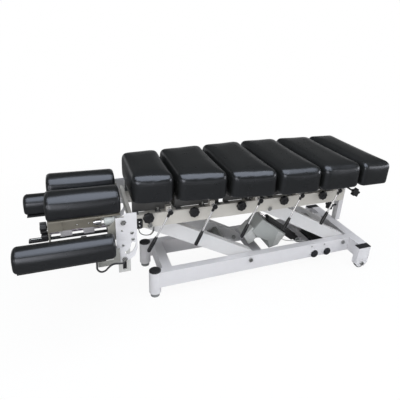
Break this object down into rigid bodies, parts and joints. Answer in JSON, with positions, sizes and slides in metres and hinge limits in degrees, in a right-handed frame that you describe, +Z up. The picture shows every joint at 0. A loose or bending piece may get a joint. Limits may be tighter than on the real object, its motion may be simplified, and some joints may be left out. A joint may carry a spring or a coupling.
{
  "type": "chiropractic table",
  "caption": "Low chiropractic drop table: padded sections on cam-lifted plates, tilting head rest, height-set armrests and a powered parallelogram lift on a wheeled frame.",
  "frame": {"origin": "floor level, under the middle of the table's overall length and width", "axes": "+X towards the foot end, +Y towards the side away from the levers, +Z up"},
  "size_m": [1.86, 0.596, 0.683],
  "materials": {
    "frame_paint": "gloss white powder coat",
    "arm_paint": "gloss white powder coat",
    "black_plastic": "fine-grained black moulding",
    "foot_rubber": "matte",
    "wheel_tread": "matte",
    "zinc": "bright zinc",
    "chrome": "polished",
    "actuator_grey": "smooth grey housing",
    "actuator_black": "satin black",
    "box_plastic": "fine-grained black moulding",
    "button_black": "smooth",
    "cable_white": "smooth sheath",
    "cushion_cover": "smooth black vinyl-coated fabric, semi-gloss",
    "plate_paint": "gloss white powder coat",
    "grip": "smooth sleeve",
    "carriage_paint": "satin olive grey",
    "head_paint": "satin grey",
    "release_black": "satin black"
  },
  "bodies": {
    "base": {"base_frame": "frame_paint", "tube_caps": "black_plastic", "base_bolts": "zinc", "control_box": "box_plastic", "base_cables": "cable_white"},
    "front_foot": {"levelling_foot_front": "foot_rubber"},
    "rear_foot": {"levelling_foot_rear": "foot_rubber"},
    "front_wheel": {"wheel_front": "wheel_tread"},
    "rear_wheel": {"wheel_rear": "wheel_tread"},
    "up_key": {"up_button": "button_black"},
    "down_key": {"down_button": "button_black"},
    "head_lift_arm": {"head_arm": "arm_paint"},
    "foot_lift_arm": {"foot_arm": "arm_paint"},
    "actuator_body": {"actuator_tube": "actuator_black", "actuator_motor": "actuator_grey"},
    "actuator_stem": {"actuator_rod": "chrome"},
    "table": {"upper_frame": "frame_paint", "upper_bolts": "zinc", "cheek_plates": "frame_paint", "foot_column": "frame_paint"},
    "foot_section": {"foot_post": "frame_paint", "foot_cushion": "cushion_cover"},
    "column_clamp": {"clamp_knob": "black_plastic"},
    "column_lock": {"column_knob": "black_plastic"},
    "head_tilt_frame": {"head_frame": "head_paint", "head_rods": "chrome"},
    "head_slide_carriage": {"head_carriage": "carriage_paint", "head_cushions": "cushion_cover"},
    "head_lock": {"head_knob": "black_plastic"},
    "head_release": {"release_bar": "release_black"},
    "front_armrest": {"armrest_bracket_front": "plate_paint", "armrest_pad_front": "cushion_cover"},
    "rear_armrest": {"armrest_bracket_rear": "plate_paint", "armrest_pad_rear": "cushion_cover"},
    "rocker": {"rocker_switch": "button_black"},
    "section_1": {"drop_plate_1": "plate_paint", "cushion_1": "cushion_cover"},
    "lever_1": {"drop_lever_1": "chrome", "lever_grip_1": "grip"},
    "tension_1": {"tension_knob_1": "black_plastic"},
    "section_2": {"drop_plate_2": "plate_paint", "cushion_2": "cushion_cover"},
    "lever_2": {"drop_lever_2": "chrome", "lever_grip_2": "grip"},
    "tension_2": {"tension_knob_2": "black_plastic"},
    "section_3": {"drop_plate_3": "plate_paint", "cushion_3": "cushion_cover"},
    "lever_3": {"drop_lever_3": "chrome", "lever_grip_3": "grip"},
    "tension_3": {"tension_knob_3": "black_plastic"},
    "section_4": {"drop_plate_4": "plate_paint", "cushion_4": "cushion_cover"},
    "lever_4": {"drop_lever_4": "chrome", "lever_grip_4": "grip"},
    "tension_4": {"tension_knob_4": "black_plastic"},
    "section_5": {"drop_plate_5": "plate_paint", "cushion_5": "cushion_cover"},
    "lever_5": {"drop_lever_5": "chrome", "lever_grip_5": "grip"},
    "tension_5": {"tension_knob_5": "black_plastic"}
  },
  "joints": [
    {"name": "lift", "type": "hinge", "parent": "base", "child": "head_lift_arm", "pos_m": [0.176, 0, 0.125], "axis": [0, 1, 0], "range_deg": [-15, 15]},
    {"name": "foot_arm_swing", "type": "hinge", "parent": "base", "child": "foot_lift_arm", "pos_m": [0.81, 0, 0.125], "axis": [0, 1, 0], "range_deg": [-16, 16]},
    {"name": "table_level", "type": "hinge", "parent": "head_lift_arm", "child": "table", "pos_m": [-0.37422, 0, 0.42999], "axis": [0, 1, 0], "range_deg": [-16, 16]},
    {"name": "actuator_swing", "type": "hinge", "parent": "base", "child": "actuator_body", "pos_m": [0.575, 0, 0.095], "axis": [0, 1, 0], "range_deg": [-21, 21]},
    {"name": "actuator_stroke", "type": "slide", "parent": "actuator_body", "child": "actuator_stem", "axis": [-0.7965, 0, 0.6046], "range_m": [-0.024, 0.024]},
    {"name": "front_foot_screw", "type": "slide", "parent": "base", "child": "front_foot", "axis": [0, 0, 1], "range_m": [-0.012, 0.006]},
    {"name": "rear_foot_screw", "type": "slide", "parent": "base", "child": "rear_foot", "axis": [0, 0, 1], "range_m": [-0.012, 0.006]},
    {"name": "front_wheel_roll", "type": "hinge", "parent": "base", "child": "front_wheel", "pos_m": [0.8765, -0.2645, 0.036], "axis": [0, 1, 0], "continuous": true},
    {"name": "rear_wheel_roll", "type": "hinge", "parent": "base", "child": "rear_wheel", "pos_m": [0.8765, 0.2645, 0.036], "axis": [0, 1, 0], "continuous": true},
    {"name": "up_press", "type": "slide", "parent": "base", "child": "up_key", "axis": [0, 1, 0], "range_m": [0, 0.004], "stiffness_N_per_m": 1500, "springref_m": -0.002},
    {"name": "down_press", "type": "slide", "parent": "base", "child": "down_key", "axis": [0, 1, 0], "range_m": [0, 0.004], "stiffness_N_per_m": 1500, "springref_m": -0.002},
    {"name": "drop_1", "type": "slide", "parent": "table", "child": "section_1", "axis": [0, 0, 1], "range_m": [0, 0.012]},
    {"name": "lever_1_turn", "type": "hinge", "parent": "table", "child": "lever_1", "pos_m": [-0.285, 0, 0.49999], "axis": [0, -1, 0], "range_deg": [0, 60.5]},
    {"name": "tension_1_turn", "type": "hinge", "parent": "table", "child": "tension_1", "pos_m": [-0.383, -0.159, 0.47399], "axis": [0, 1, 0], "continuous": true},
    {"name": "drop_2", "type": "slide", "parent": "table", "child": "section_2", "axis": [0, 0, 1], "range_m": [0, 0.012]},
    {"name": "lever_2_turn", "type": "hinge", "parent": "table", "child": "lever_2", "pos_m": [-0.066, 0, 0.49999], "axis": [0, -1, 0], "range_deg": [0, 60.5]},
    {"name": "tension_2_turn", "type": "hinge", "parent": "table", "child": "tension_2", "pos_m": [-0.164, -0.159, 0.47399], "axis": [0, 1, 0], "continuous": true},
    {"name": "drop_3", "type": "slide", "parent": "table", "child": "section_3", "axis": [0, 0, 1], "range_m": [0, 0.012]},
    {"name": "lever_3_turn", "type": "hinge", "parent": "table", "child": "lever_3", "pos_m": [0.184, 0, 0.49999], "axis": [0, -1, 0], "range_deg": [0, 60.5]},
    {"name": "tension_3_turn", "type": "hinge", "parent": "table", "child": "tension_3", "pos_m": [0.086, -0.159, 0.47399], "axis": [0, 1, 0], "continuous": true},
    {"name": "drop_4", "type": "slide", "parent": "table", "child": "section_4", "axis": [0, 0, 1], "range_m": [0, 0.012]},
    {"name": "lever_4_turn", "type": "hinge", "parent": "table", "child": "lever_4", "pos_m": [0.434, 0, 0.49999], "axis": [0, -1, 0], "range_deg": [0, 60.5]},
    {"name": "tension_4_turn", "type": "hinge", "parent": "table", "child": "tension_4", "pos_m": [0.336, -0.159, 0.47399], "axis": [0, 1, 0], "continuous": true},
    {"name": "drop_5", "type": "slide", "parent": "table", "child": "section_5", "axis": [0, 0, 1], "range_m": [0, 0.012]},
    {"name": "lever_5_turn", "type": "hinge", "parent": "table", "child": "lever_5", "pos_m": [0.684, 0, 0.49999], "axis": [0, -1, 0], "range_deg": [0, 60.5]},
    {"name": "tension_5_turn", "type": "hinge", "parent": "table", "child": "tension_5", "pos_m": [0.586, -0.159, 0.47399], "axis": [0, 1, 0], "continuous": true},
    {"name": "foot_height", "type": "slide", "parent": "table", "child": "foot_section", "axis": [0, 0, 1], "range_m": [0, 0.06]},
    {"name": "column_clamp_turn", "type": "hinge", "parent": "table", "child": "column_clamp", "pos_m": [0.836, -0.138, 0.45599], "axis": [0, 1, 0], "continuous": true},
    {"name": "column_lock_turn", "type": "hinge", "parent": "table", "child": "column_lock", "pos_m": [0.78, -0.03, 0.31699], "axis": [1, 0, 0], "continuous": true},
    {"name": "head_tilt", "type": "hinge", "parent": "table", "child": "head_tilt_frame", "pos_m": [-0.5, 0, 0.48999], "axis": [0, 1, 0], "range_deg": [-40, 15]},
    {"name": "head_extend", "type": "slide", "parent": "head_tilt_frame", "child": "head_slide_carriage", "axis": [-1, 0, 0], "range_m": [-0.01, 0.04]},
    {"name": "head_lock_turn", "type": "hinge", "parent": "head_tilt_frame", "child": "head_lock", "pos_m": [-0.8, -0.12, 0.46799], "axis": [1, 0, 0], "continuous": true},
    {"name": "head_release_turn", "type": "hinge", "parent": "head_tilt_frame", "child": "head_release", "pos_m": [-0.8, -0.12, 0.40999], "axis": [1, 0, 0], "range_deg": [0, 35], "stiffness_Nm_per_rad": 0.6, "springref_deg": -11.46},
    {"name": "front_armrest_height", "type": "slide", "parent": "table", "child": "front_armrest", "axis": [0, 0, 1], "range_m": [-0.04, 0.04]},
    {"name": "rear_armrest_height", "type": "slide", "parent": "table", "child": "rear_armrest", "axis": [0, 0, 1], "range_m": [-0.04, 0.04]},
    {"name": "rocker_tip", "type": "hinge", "parent": "table", "child": "rocker", "pos_m": [-0.4225, -0.1525, 0.44399], "axis": [1, 0, 0], "range_deg": [-6, 6]}
  ],
  "couplings": [
    {"joint": "foot_arm_swing", "follows": "lift", "ratio": 1},
    {"joint": "table_level", "follows": "lift", "ratio": -1},
    {"joint": "actuator_swing", "follows": "lift", "ratio": 1.312},
    {"joint": "actuator_stroke", "follows": "lift", "m_per_rad": 0.0872},
    {"joint": "lever_1_turn", "follows": "drop_1", "rad_per_m": 87.266},
    {"joint": "lever_2_turn", "follows": "drop_2", "rad_per_m": 87.266},
    {"joint": "lever_3_turn", "follows": "drop_3", "rad_per_m": 87.266},
    {"joint": "lever_4_turn", "follows": "drop_4", "rad_per_m": 87.266},
    {"joint": "lever_5_turn", "follows": "drop_5", "rad_per_m": 87.266}
  ]
}
